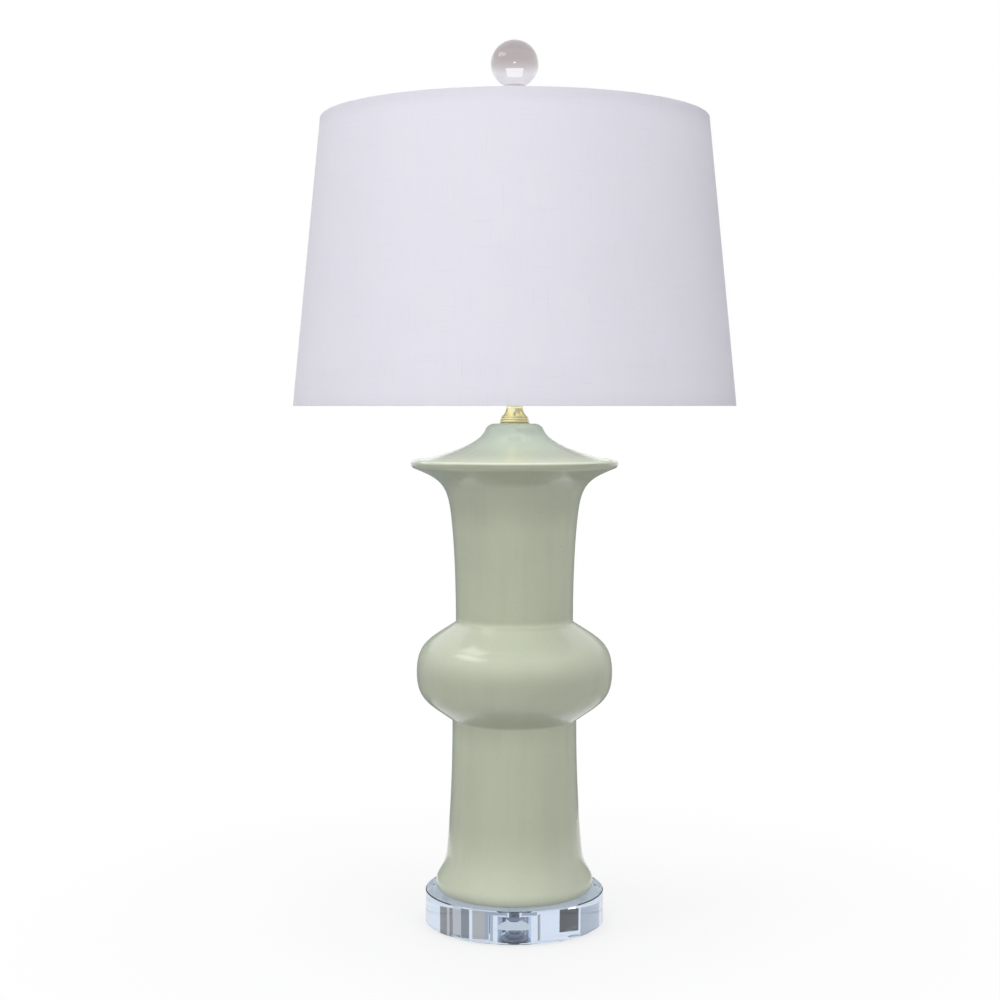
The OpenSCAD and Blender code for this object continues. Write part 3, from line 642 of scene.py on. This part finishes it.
def frosted(look):
    """Bulb glass with a white powder coat inside, a little thinner near the collar."""
    finish = Finish("bulb_glass")
    place = finish.place()
    _, _, z = finish.round_axis()
    powder = finish.noise(place, 1500.0, 2.0, 0.6)
    cloud = finish.noise(place, 40.0, 2.0, 0.5)
    collar = z.fade(high("bulb_base") + 0.009, high("bulb_base"))
    thin = screen(205, 203, 196)
    tint = finish.blend(cloud * 0.15 + collar * 0.35, tuple(look.glass), thin)
    return finish.done(
        Base_Color=tint,
        Roughness=0.32 + powder * 0.1,
        Coat_Weight=0.5,
        Coat_Roughness=0.05,
        Normal=finish.bump(powder, 0.00001, 0.5),
    )


def moulded(name, tint, paler, gloss, grain_size=700.0):
    """Moulded resin: flow marks, a fine grain and paler rubbed places."""
    finish = Finish(name)
    place = finish.place()
    flow = finish.noise(place, 110.0, 4.0, 0.6)
    grain = finish.noise(place, grain_size, 3.0, 0.6)
    tint = finish.blend(flow.fade(0.45, 0.7) * 0.5, tint, paler)
    return finish.done(
        Base_Color=tint,
        Roughness=gloss + flow * 0.15,
        Normal=finish.bump(grain * 0.6 + flow * 0.4, 0.00006, 0.6),
    )


def pressed_paper(look):
    """Fibre board with short pale and dark fibres."""
    finish = Finish("socket_paper")
    place = finish.place()
    _, around, z = finish.round_axis()
    fibres = finish.noise(finish.join(around * 20.0, z * 1400.0, 0.0), 1.0, 3.0, 0.7)
    cloud = finish.noise(place, 300.0, 3.0, 0.6)
    dark = screen(136, 112, 82)
    tint = finish.blend(fibres.fade(0.4, 0.7) * 0.5 + cloud * 0.2, tuple(look.paper), dark)
    return finish.done(Base_Color=tint, Roughness=0.9, Normal=finish.bump(fibres + cloud, 0.00008, 0.7))


# Operators


class LAMP_OT_camera(bpy.types.Operator):
    """Sets the camera of the main view"""

    bl_idname = "lamp.camera"
    bl_label = "Camera"

    def execute(self, context):
        look = context.scene.lamp_studio
        data = bpy.data.cameras.new("lamp_camera")
        data.lens = look.lens
        data.sensor_width = 36.0
        data.clip_end = 50.0
        camera = bpy.data.objects.new("lamp_camera", data)
        camera.location = (0.0, -look.distance, look.eye)
        camera.rotation_euler = (math.pi / 2 - look.pitch, 0.0, look.yaw)
        context.scene.collection.objects.link(camera)
        context.scene.camera = camera
        return {"FINISHED"}


class LAMP_OT_stage(bpy.types.Operator):
    """Builds the floor, the white surroundings, the lamps and the cards"""

    bl_idname = "lamp.stage"
    bl_label = "Studio"

    def execute(self, context):
        look = context.scene.lamp_studio
        self.floor(context)
        self.surroundings(context, look)
        for name, *place, mirrored in LAMPS:
            self.softbox(context, f"{name}_light", getattr(look, name), *place, mirrored)
        for card in CARDS:
            self.card(context, *card)
        return {"FINISHED"}

    def floor(self, context):
        """White paper that takes a soft shadow close to the lamp."""
        finish = Finish("floor_paper")
        radius, _, _ = finish.round_axis()
        matt = finish.node("ShaderNodeBsdfDiffuse", inputs={"Color": screen(216, 216, 219)})
        white = finish.node("ShaderNodeEmission", inputs={"Color": WHITE, "Strength": 1.0})
        past_shadow, past_disc = radius.fade(0.16, 0.6), radius.fade(0.07, 0.1)
        whiteness = finish.seen() * (past_shadow * 0.16 + past_disc * 0.12 + 0.72)
        paper = finish.node("ShaderNodeMixShader", inputs={0: whiteness, 1: matt, 2: white})
        finish.node("ShaderNodeOutputMaterial", inputs={"Surface": paper})
        half = 8.0
        mesh = bpy.data.meshes.new("floor")
        square = [(-half, -half, 0.0), (half, -half, 0.0), (half, half, 0.0), (-half, half, 0.0)]
        mesh.from_pydata(square, [], [(0, 1, 2, 3)])
        mesh.materials.append(finish.block)
        made = bpy.data.objects.new("floor", mesh)
        context.scene.collection.objects.link(made)

    def surroundings(self, context, look):
        """A bluish even light, on a background that the camera, gloss and clear bodies see white."""
        finish = Finish("studio", "worlds")
        context.scene.world = finish.block
        daylight = {"Color": (0.97, 0.985, 1.0, 1.0), "Strength": look.ambient}
        even = finish.node("ShaderNodeBackground", inputs=daylight)
        white = finish.node("ShaderNodeBackground", inputs={"Color": WHITE, "Strength": 1.0})
        mixed = finish.node("ShaderNodeMixShader", inputs={0: finish.seen(), 1: even, 2: white})
        finish.node("ShaderNodeOutputWorld", inputs={"Surface": mixed})

    def softbox(self, context, name, power, turn, rise, distance, size, mirrored):
        """A soft light at a turn from the front and a rise over the table, in degrees."""
        turn, rise = math.radians(turn), math.radians(rise)
        out = Vector((math.sin(turn) * math.cos(rise), -math.cos(turn) * math.cos(rise), math.sin(rise)))
        data = bpy.data.lights.new(name, "AREA")
        data.shape = "RECTANGLE"
        data.size, data.size_y = size
        data.energy = power
        made = bpy.data.objects.new(name, data)
        made.location = Vector((0.0, 0.0, AIM)) + out * distance
        made.rotation_euler = out.to_track_quat("Z", "Y").to_euler()
        made.visible_glossy = made.visible_transmission = mirrored
        context.scene.collection.objects.link(made)

    def card(self, context, name, start, end, distance, bottom, top, tone, clear_sees, change=None):
        """A curved or level card that only clear bodies see, or only gloss."""
        finish = Finish(name)
        tint = (*tone, 1.0)
        if change:
            first, last, *second = change
            _, around, z = finish.round_axis()
            back = math.pi - around.size()
            span = (first, last) if clear_sees else (math.radians(first), math.radians(last))
            part = (z if clear_sees else back).fade(*span)
            tint = finish.blend(part, tint, (*second, 1.0))
        flat = finish.node("ShaderNodeEmission", inputs={"Color": tint, "Strength": 1.0})
        finish.node("ShaderNodeOutputMaterial", inputs={"Surface": flat})
        count = max(2, round((end - start) / CARD_STEP))
        turns = [math.radians(start + (end - start) * i / count) for i in range(count + 1)]
        near, far = distance if isinstance(distance, tuple) else (distance, distance)
        edges = ((near, bottom), (far, top))
        points = [(reach * math.sin(t), reach * math.cos(t), z) for t in turns for reach, z in edges]
        faces = [(2 * i, 2 * i + 2, 2 * i + 3, 2 * i + 1) for i in range(count)]
        mesh = bpy.data.meshes.new(name)
        mesh.from_pydata(points, [], faces)
        mesh.materials.append(finish.block)
        made = bpy.data.objects.new(name, mesh)
        made.visible_camera = made.visible_diffuse = made.visible_shadow = False
        made.visible_glossy, made.visible_transmission = not clear_sees, clear_sees
        context.scene.collection.objects.link(made)


class LAMP_OT_porcelain(bpy.types.Operator):
    """Glazes the porcelain body"""

    bl_idname = "lamp.porcelain"
    bl_label = "Porcelain body"

    def execute(self, context):
        dress(celadon(context.scene.lamp_glaze), "porcelain_body")
        return {"FINISHED"}


class LAMP_OT_disc(bpy.types.Operator):
    """Finishes the clear disc, its feet and the fixings under it"""

    bl_idname = "lamp.disc"
    bl_label = "Clear disc"

    def execute(self, context):
        look = context.scene.lamp_clear
        metal = context.scene.lamp_metal
        dress(clear("acrylic_disc", tuple(look.acrylic), look.acrylic_ior, 0.05), "base_disc")
        dress(clear("clear_feet", screen(226, 228, 228), 1.5, 0.35, 1.0), "foot_pads")
        zinc, dull = tuple(metal.zinc), screen(132, 134, 140)
        dress(turned_metal("zinc_washer", zinc, dull, metal, 0.34, 0.5), "bottom_washer", "bottom_nut")
        self.hair_gap()
        dress(threaded_metal("pipe_thread", zinc, dull, FINE_PITCH, 0.3), "lamp_pipe")
        return {"FINISHED"}

    def hair_gap(self):
        """Draws the washer in a little, since faces shared with the clear disc render black."""
        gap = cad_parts["bottom_washer"].modifiers.new("hair_gap", "DISPLACE")
        gap.strength, gap.mid_level = -0.00004, 0.0


class LAMP_OT_neck(bpy.types.Operator):
    """Finishes the turned brass neck, its check ring and the rubber seals"""

    bl_idname = "lamp.neck"
    bl_label = "Neck and seals"

    def execute(self, context):
        metal = context.scene.lamp_metal
        socket = context.scene.lamp_socket
        old = screen(236, 218, 140)
        brass = turned_metal("neck_brass", tuple(metal.brass), old, metal, 0.14, 0.4, 0.9)
        dress(brass, "brass_neck", "check_ring")
        fine_grain = 1500.0
        rubber = moulded("seal_rubber", tuple(socket.rubber), screen(74, 72, 70), 0.62, fine_grain)
        dress(rubber, "centring_bush", "cord_outlet_bush")
        gasket = moulded("gasket_rubber", tuple(socket.gasket), screen(204, 208, 194), 0.7, fine_grain)
        dress(gasket, "cap_gasket")
        return {"FINISHED"}


class LAMP_OT_harp(bpy.types.Operator):
    """Finishes the harp, its saddle and its ferrules"""

    bl_idname = "lamp.harp"
    bl_label = "Harp"

    def execute(self, context):
        metal = context.scene.lamp_metal
        brass, old = tuple(metal.brass), screen(176, 154, 98)
        dress(drawn_wire("harp_wire", brass, old, 0.2), "harp_loop", "harp_saddle")
        fittings = turned_metal("harp_fittings", brass, old, metal, 0.18, 0.45)
        dress(fittings, "ferrule_left", "ferrule_right")
        dress(threaded_metal("stud_thread", brass, old, FINE_PITCH, 0.22), "harp_rest")
        return {"FINISHED"}


class LAMP_OT_socket(bpy.types.Operator):
    """Finishes the socket and cuts the screw of its shell"""

    bl_idname = "lamp.socket"
    bl_label = "Socket"

    def execute(self, context):
        metal = context.scene.lamp_metal
        look = context.scene.lamp_socket
        brass, old = tuple(metal.brass), screen(172, 150, 94)
        dress(turned_metal("socket_brass", brass, old, metal, 0.2, 0.5), "socket_cap", "socket_shell")
        screws = turned_metal("screw_zinc", tuple(metal.zinc), screen(128, 130, 136), metal, 0.3, 0.5)
        dress(screws, "socket_set_screw", "terminal_screws")
        dress(drawn_wire("contact_brass", brass, old, 0.28), "centre_contact")
        dress(pressed_paper(look), "socket_liner")
        dress(moulded("phenolic_inside", screen(58, 38, 28), screen(84, 58, 44), 0.42), "socket_interior")
        dress(moulded("phenolic_knob", tuple(look.phenolic), screen(70, 56, 48), 0.3), "switch_knob")
        tin = turned_metal("screw_shell_tin", tuple(metal.tin), screen(150, 146, 138), metal, 0.24, 0.5)
        self.screw_shell(look, tin)
        return {"FINISHED"}

    def screw_shell(self, look, tin):
        """A thin wall whose outside and inside follow the thread, on a floor with a hole."""
        bottom, top = low("screw_shell"), high("screw_shell")
        wall, hole, proud = 0.0004, 0.007, 0.6
        crest = high("screw_shell", 0) + look.thread_depth * proud
        outside = thread(crest, bottom + wall, top, look.thread_pitch, look.thread_depth)
        inside = []
        for row in range(len(outside) - THREAD_SIDES, -1, -THREAD_SIDES):
            for x, y, z in outside[row : row + THREAD_SIDES]:
                part = 1 - wall / math.hypot(x, y)
                inside.append((x * part, y * part, z))
        points = outside + inside
        faces = lattice(len(points) // THREAD_SIDES, THREAD_SIDES)
        made = piece("screw_shell_thread", points, faces, "stand", tin)
        points = circles([(hole, bottom), (crest, bottom), (crest, bottom + wall), (hole, bottom + wall)])
        faces = lattice(4, THREAD_SIDES, looped=True)
        piece("screw_shell_floor", points, faces, "stand", tin, smooth=False)
        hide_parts("screw_shell")


class LAMP_OT_bulb(bpy.types.Operator):
    """Finishes the bulb and rolls the screw of its base"""

    bl_idname = "lamp.bulb"
    bl_label = "Bulb"

    def execute(self, context):
        metal = context.scene.lamp_metal
        look = context.scene.lamp_socket
        dress(frosted(context.scene.lamp_clear), "bulb_glass")
        solder, dull = screen(190, 188, 184), screen(140, 138, 134)
        dress(drawn_wire("bulb_solder", solder, dull, 0.3), "bulb_contact")
        tin = turned_metal("bulb_base_tin", tuple(metal.tin), screen(150, 146, 138), metal, 0.26, 0.5)
        self.screw_base(look, tin)
        return {"FINISHED"}

    def screw_base(self, look, tin):
        """The rolled screw between the cone round the foot contact and the collar under the glass."""
        bottom, top = low("bulb_base"), high("bulb_base")
        crest = high("bulb_base", 0)
        start, end = bottom + 0.0055, top - 0.0032
        cone = [
            (0.004, bottom),
            (0.0052, bottom),
            (0.0106, bottom + 0.0028),
            (crest - 0.0006, start - 0.0004),
        ]
        collar = [
            (crest - 0.0004, end + 0.0004),
            (crest - 0.0006, top - 0.0022),
            (crest - 0.0002, top - 0.0016),
            (crest - 0.0002, top),
            (crest - 0.0016, top),
        ]
        screw = thread(crest, start, end, look.thread_pitch, look.thread_depth)
        points = circles(cone) + screw + circles(collar)
        count = len(points)
        faces = lattice(count // THREAD_SIDES, THREAD_SIDES) + caps(count, THREAD_SIDES)
        made = piece("bulb_screw_base", points, faces, "bulb", tin)
        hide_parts("bulb_base")


class LAMP_OT_shade(bpy.types.Operator):
    """Finishes the shade, folds its hems over the rings and sews the lap at the back"""

    bl_idname = "lamp.shade"
    bl_label = "Shade"

    def execute(self, context):
        look = context.scene.lamp_shade
        metal = context.scene.lamp_metal
        cloth = linen(look)
        dress(cloth, "shade_linen")
        dress(styrene(look), "shade_liner")
        brass, old = tuple(metal.brass), screen(150, 132, 88)
        wire = drawn_wire("frame_wire", brass, old, 0.24)
        dress(wire, "shade_top_ring", "shade_bottom_ring", "shade_spider")
        dress(turned_metal("spider_brass", brass, old, metal, 0.22, 0.4), "spider_washer")
        for name, up in (("top", 1), ("bottom", -1)):
            self.hem(name, up, cloth, look)
        self.lap(cloth, look)
        self.brazing(wire)
        return {"FINISHED"}

    def ring(self, name):
        """Radius of a frame ring's middle, its height and the radius of its wire."""
        bottom, top = low(name), high(name)
        wire = (top - bottom) / 2
        return high(name, 0) - wire, (bottom + top) / 2, wire

    def outside(self, z):
        """Radius of the linen's outside at a height."""
        top_r, top_z, _ = self.ring("shade_top_ring")
        low_r, low_z, _ = self.ring("shade_bottom_ring")
        lean = (low_r - top_r) / (top_z - low_z)
        return high("shade_linen", 0) - lean * (z - low("shade_linen"))

    def hem(self, name, up, cloth, look):
        """Linen folded over the edge and a ring, tucked in under the ring and notched for the arms."""
        middle, height, wire = self.ring(f"shade_{name}_ring")
        path = self.fold(middle, height, wire, up, look)
        points = []
        for step in range(HEM_STEPS):
            turn = 2 * math.pi * step / HEM_STEPS
            wave = sum(deep * math.sin(turn * count + start) for deep, count, start in HEM_WAVES)
            for k, (r, z) in enumerate(path):
                loose = wave * (k / len(path)) ** 2
                points.append(((r - loose) * math.cos(turn), (r - loose) * math.sin(turn), z))
        faces = []
        for number, face in enumerate(lattice(HEM_STEPS, len(path), closed=False, looped=True)):
            step, k = divmod(number, len(path) - 1)
            turn = (step + 0.5) * 360 / HEM_STEPS
            notched = up > 0 and any(abs(turn - arm) < HALF_NOTCH for arm in ARMS)
            if k < NOTCH_START or not notched:
                faces.append(face)
        made = piece(f"shade_hem_{name}", points, faces, "shade", cloth)
        self.thicken(made, 0.0003)
        2 * math.pi * middle

    def fold(self, middle, height, wire, up, look):
        """Radius and height along the hem, from the linen's edge over the ring to the tucked end."""
        edge = high("shade_linen") if up > 0 else low("shade_linen")
        outer = self.outside(edge)
        wall = self.outside(height) - middle - wire
        gap, sunk = 0.00025, 0.0001
        path = [(outer - sunk, edge - up * sunk), (outer - 3 * sunk, edge + up * gap * 0.8)]
        path += [(outer - wall * part, edge + up * gap) for part in (0.4, 0.8)]
        for turn in range(*WRAP):
            a = math.radians(turn)
            path.append((middle + (wire + gap) * math.cos(a), height + up * (wire + gap) * math.sin(a)))
        under = height - up * (wire + 0.0011)
        path.append((middle - sunk, under + up * sunk))
        for drop in (0.0, 0.002, 0.0045, look.hem - 0.003):
            z = under - up * drop
            path.append((self.outside(z) - wall - sunk, z))
        return path

    def lap(self, cloth, look):
        """The overlap where the linen's two ends are glued, down the back."""
        from_rim = 0.0035
        bottom, top = low("shade_linen") + from_rim, high("shade_linen") - from_rim
        rows, across = 60, 10
        points = []
        for i in range(rows + 1):
            z = bottom + (top - bottom) * i / rows
            for k in range(across + 1):
                u = k / across - 0.5
                lift = 0.00012 + 0.00016 * (1 - (2 * abs(u)) ** 6)
                r = self.outside(z) + lift
                turn = math.pi / 2 + u * look.seam / r
                points.append((r * math.cos(turn), r * math.sin(turn), z))
        faces = lattice(rows + 1, across + 1, closed=False)
        made = piece("shade_seam", points, faces, "shade", cloth)
        self.thicken(made, 0.00025)

    def thicken(self, made, thickness):
        shell = made.modifiers.new("thickness", "SOLIDIFY")
        shell.thickness = thickness
        shell.offset = 0.0

    def brazing(self, wire_finish):
        """A fillet of brass where each arm meets the top ring, and where it meets the washer."""
        middle, height, wire = self.ring("shade_top_ring")
        washer_r = high("spider_washer", 0)
        washer_z = (low("spider_washer") + high("spider_washer")) / 2
        sunk = 0.0006
        start = Vector((washer_r - sunk, 0.0, washer_z))
        end = Vector((middle - wire * 0.4, 0.0, height))
        way = (end - start).normalized()
        ends = (("ring", end, -way, 1.0, 1.0), ("washer", start, way, 0.7, 0.62))
        for arm, turn in enumerate(ARMS):
            cosine, sine = math.cos(math.radians(turn)), math.sin(math.radians(turn))
            for place, root, along, spread, squeeze in ends:
                points = self.fillet(root, along, way, wire, spread, squeeze, arm)
                points = [(q.x * cosine - q.y * sine, q.x * sine + q.y * cosine, q.z) for q in points]
                faces = lattice(FILLET_ROWS, FILLET_SIDES) + caps(len(points), FILLET_SIDES)
                piece(f"braze_{place}_{arm + 1}", points, faces, "shade", wire_finish)

    def fillet(self, root, along, way, wire, spread, squeeze, arm):
        """Rows of points of one fillet, which thins out along its arm.

        At its root, spread scales how far it grows past the wire, and squeeze its height.
        """
        reach, tip, swell = 0.0042, 1.02, 1.15
        side = Vector((0.0, 1.0, 0.0))
        up = way.cross(side)
        points = []
        for i in range(FILLET_ROWS):
            t = i / (FILLET_ROWS - 1)
            r = wire * (tip + swell * (1 - t) ** 3 * spread)
            flat = squeeze + (1 - squeeze) * t
            for k in range(FILLET_SIDES):
                a = 2 * math.pi * k / FILLET_SIDES
                lump = r * (1 + 0.06 * math.sin(3 * a + arm) * (1 - t))
                across = side * (lump * math.cos(a)) + up * (lump * flat * math.sin(a))
                points.append(root + along * (t * reach) + across)
        return points


class LAMP_OT_finial(bpy.types.Operator):
    """Finishes the finial's turned stem and its ball"""

    bl_idname = "lamp.finial"
    bl_label = "Finial"

    def execute(self, context):
        metal = context.scene.lamp_metal
        look = context.scene.lamp_clear
        nickel, dull = tuple(metal.nickel), screen(150, 148, 148)
        dress(turned_metal("finial_nickel", nickel, dull, metal, 0.16, 0.35), "finial_stem")
        dress(clear("crystal_ball", tuple(look.crystal), look.crystal_ior, 0.02, 0.12), "finial_ball")
        return {"FINISHED"}


class LAMP_PT_panel(bpy.types.Panel):
    """Lists the lamp's groups"""

    bl_idname = "LAMP_PT_panel"
    bl_label = "Porcelain Lamp"
    bl_space_type = "VIEW_3D"
    bl_region_type = "UI"
    bl_category = "Lamp"

    def draw(self, context):
        for operator in OPERATORS:
            self.layout.operator(operator.bl_idname)
        for group in GROUPS:
            box = self.layout.box()
            settings = getattr(context.scene, group)
            for key in GROUPS[group].__annotations__:
                box.prop(settings, key)


GROUPS = {
    "lamp_glaze": LampGlaze,
    "lamp_shade": LampShade,
    "lamp_metal": LampMetal,
    "lamp_clear": LampClear,
    "lamp_socket": LampSocket,
    "lamp_studio": LampStudio,
}
OPERATORS = (
    LAMP_OT_camera,
    LAMP_OT_stage,
    LAMP_OT_porcelain,
    LAMP_OT_disc,
    LAMP_OT_neck,
    LAMP_OT_harp,
    LAMP_OT_socket,
    LAMP_OT_bulb,
    LAMP_OT_shade,
    LAMP_OT_finial,
)


def register():
    for name, group in GROUPS.items():
        bpy.utils.register_class(group)
        setattr(bpy.types.Scene, name, PointerProperty(type=group))
    for operator in OPERATORS:
        bpy.utils.register_class(operator)
    bpy.utils.register_class(LAMP_PT_panel)


def unregister():
    bpy.utils.unregister_class(LAMP_PT_panel)
    for operator in reversed(OPERATORS):
        bpy.utils.unregister_class(operator)
    for name, group in reversed(GROUPS.items()):
        delattr(bpy.types.Scene, name)
        bpy.utils.unregister_class(group)


def main():
    register()
    bpy.context.scene.view_settings.view_transform = "Standard"
    for operator in OPERATORS:
        group, name = operator.bl_idname.split(".")
        getattr(getattr(bpy.ops, group), name)()


if __name__ == "__main__":
    main()
